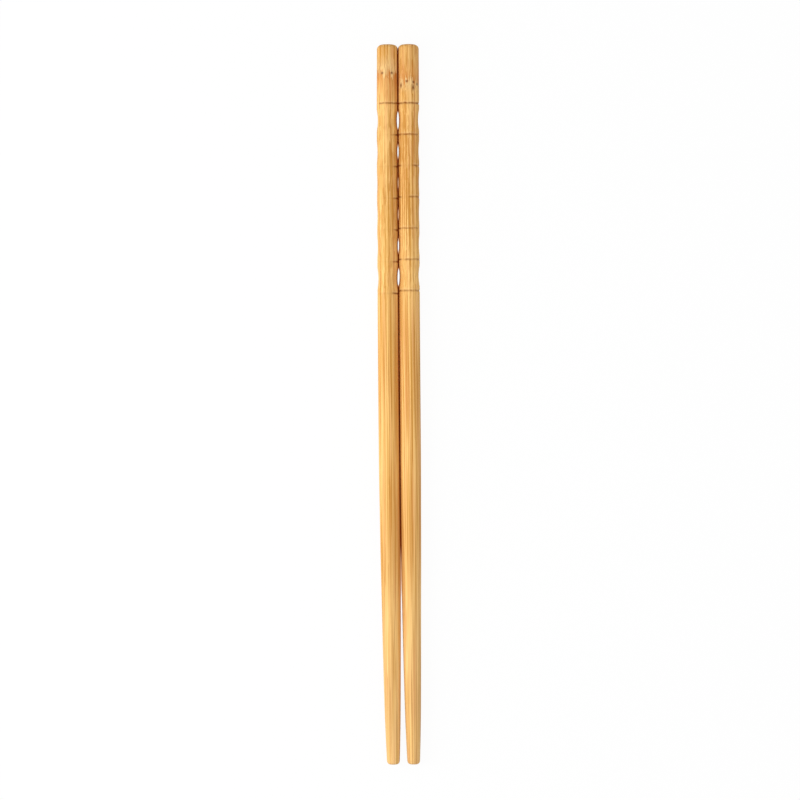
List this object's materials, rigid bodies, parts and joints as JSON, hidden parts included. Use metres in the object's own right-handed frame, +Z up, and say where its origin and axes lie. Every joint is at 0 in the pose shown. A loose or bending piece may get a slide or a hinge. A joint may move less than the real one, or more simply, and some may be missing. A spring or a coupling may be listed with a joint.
{
  "type": "pair of chopsticks",
  "caption": "Pair of round bamboo chopsticks lying side by side: flat butt ends, grips carved with rings and shallow waists, plain shafts and long tapers to blunt rounded tips.",
  "frame": {"origin": "on the table, under the middle of the pair: half way along the sticks and half way across both", "axes": "+Y along the sticks towards their butt ends, tips towards -Y; +Z up from the table; +X from the left stick to the right one, seen from above with the butt ends away from the viewer"},
  "size_m": [0.0142, 0.24, 0.0071],
  "materials": {
    "bamboo": "satin"
  },
  "bodies": {
    "root": {"left_chopstick": "bamboo", "right_chopstick": "bamboo"}
  },
  "joints": []
}
